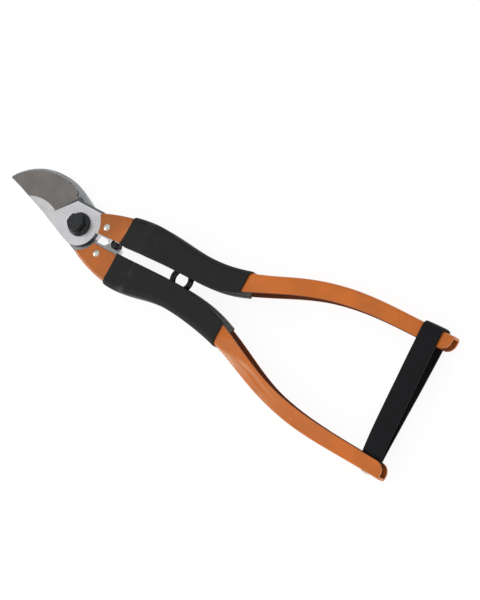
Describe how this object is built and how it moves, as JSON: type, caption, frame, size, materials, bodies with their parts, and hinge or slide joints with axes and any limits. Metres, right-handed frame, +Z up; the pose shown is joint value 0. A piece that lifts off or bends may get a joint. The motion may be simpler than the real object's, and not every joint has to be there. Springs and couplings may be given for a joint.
{
  "type": "pruning shears",
  "caption": "Bypass pruning shears with orange pressed steel handles, black sleeves, a wire spring and a strap that holds them shut.",
  "frame": {"origin": "on the pivot axis, at the rear face of the pivot nut, in the plane the shears rest on", "axes": "+X from the pivot back along the handles, +Y towards the handle that carries the cutting blade, +Z up along the pivot axis towards the pivot bolt's head"},
  "size_m": [0.2988, 0.0866, 0.0168],
  "materials": {
    "ground_steel": "ground, with a dark hollow grind on the cutting blade",
    "orange_enamel": "stove enamelled pressed sheet steel, satin gloss",
    "black_vinyl": "matt",
    "blackened_steel": "black oxide",
    "zinc_steel": "zinc plated",
    "rivet_steel": "bright, turned",
    "bush_bronze": "turned",
    "black_rubber": "matt",
    "spring_wire": "black, drawn",
    "black_strap": "matt"
  },
  "bodies": {
    "lower_half": {"lower_handle": "orange_enamel", "counter_blade": "ground_steel", "lower_sleeve": "black_vinyl", "lower_tang_rivets": "rivet_steel", "pivot_bush": "bush_bronze", "pivot_washer": "zinc_steel", "pivot_bolt": "blackened_steel", "pivot_nut": "blackened_steel", "tang_bumper": "black_rubber", "lower_spring_pin": "zinc_steel", "strap_tail": "black_strap", "strap_rivet": "rivet_steel"},
    "upper_half": {"upper_handle": "orange_enamel", "cutting_blade": "ground_steel", "upper_sleeve": "black_vinyl", "upper_tang_rivets": "rivet_steel", "upper_spring_pin": "zinc_steel"},
    "spring_front": {"spring_front_half": "spring_wire"},
    "spring_rear": {"spring_rear_half": "spring_wire"},
    "strap": {"strap_loop": "black_strap"}
  },
  "joints": [
    {"name": "blade_hinge", "type": "hinge", "parent": "lower_half", "child": "upper_half", "pos_m": [0, 0, 0.0078], "axis": [0, 0, 1], "range_deg": [0, 30], "deforming": ["strap_loop", "spring_front_half", "spring_rear_half"]},
    {"name": "spring_front_swing", "type": "hinge", "parent": "upper_half", "child": "spring_front", "pos_m": [0.052, 0.008, 0.0078], "axis": [0, 0, 1], "range_deg": [-52, 0]},
    {"name": "spring_rear_swing", "type": "hinge", "parent": "lower_half", "child": "spring_rear", "pos_m": [0.052, -0.008, 0.0078], "axis": [0, 0, 1], "range_deg": [0, 52]},
    {"name": "strap_swing", "type": "hinge", "parent": "lower_half", "child": "strap", "pos_m": [0.2285, -0.0335, 0.0078], "axis": [0, 0, 1], "range_deg": [-60, 0]}
  ],
  "couplings": [
    {"joint": "spring_front_swing", "follows": "blade_hinge", "ratio": -1.72},
    {"joint": "spring_rear_swing", "follows": "blade_hinge", "ratio": 1.72},
    {"joint": "strap_swing", "follows": "blade_hinge", "ratio": -2}
  ]
}
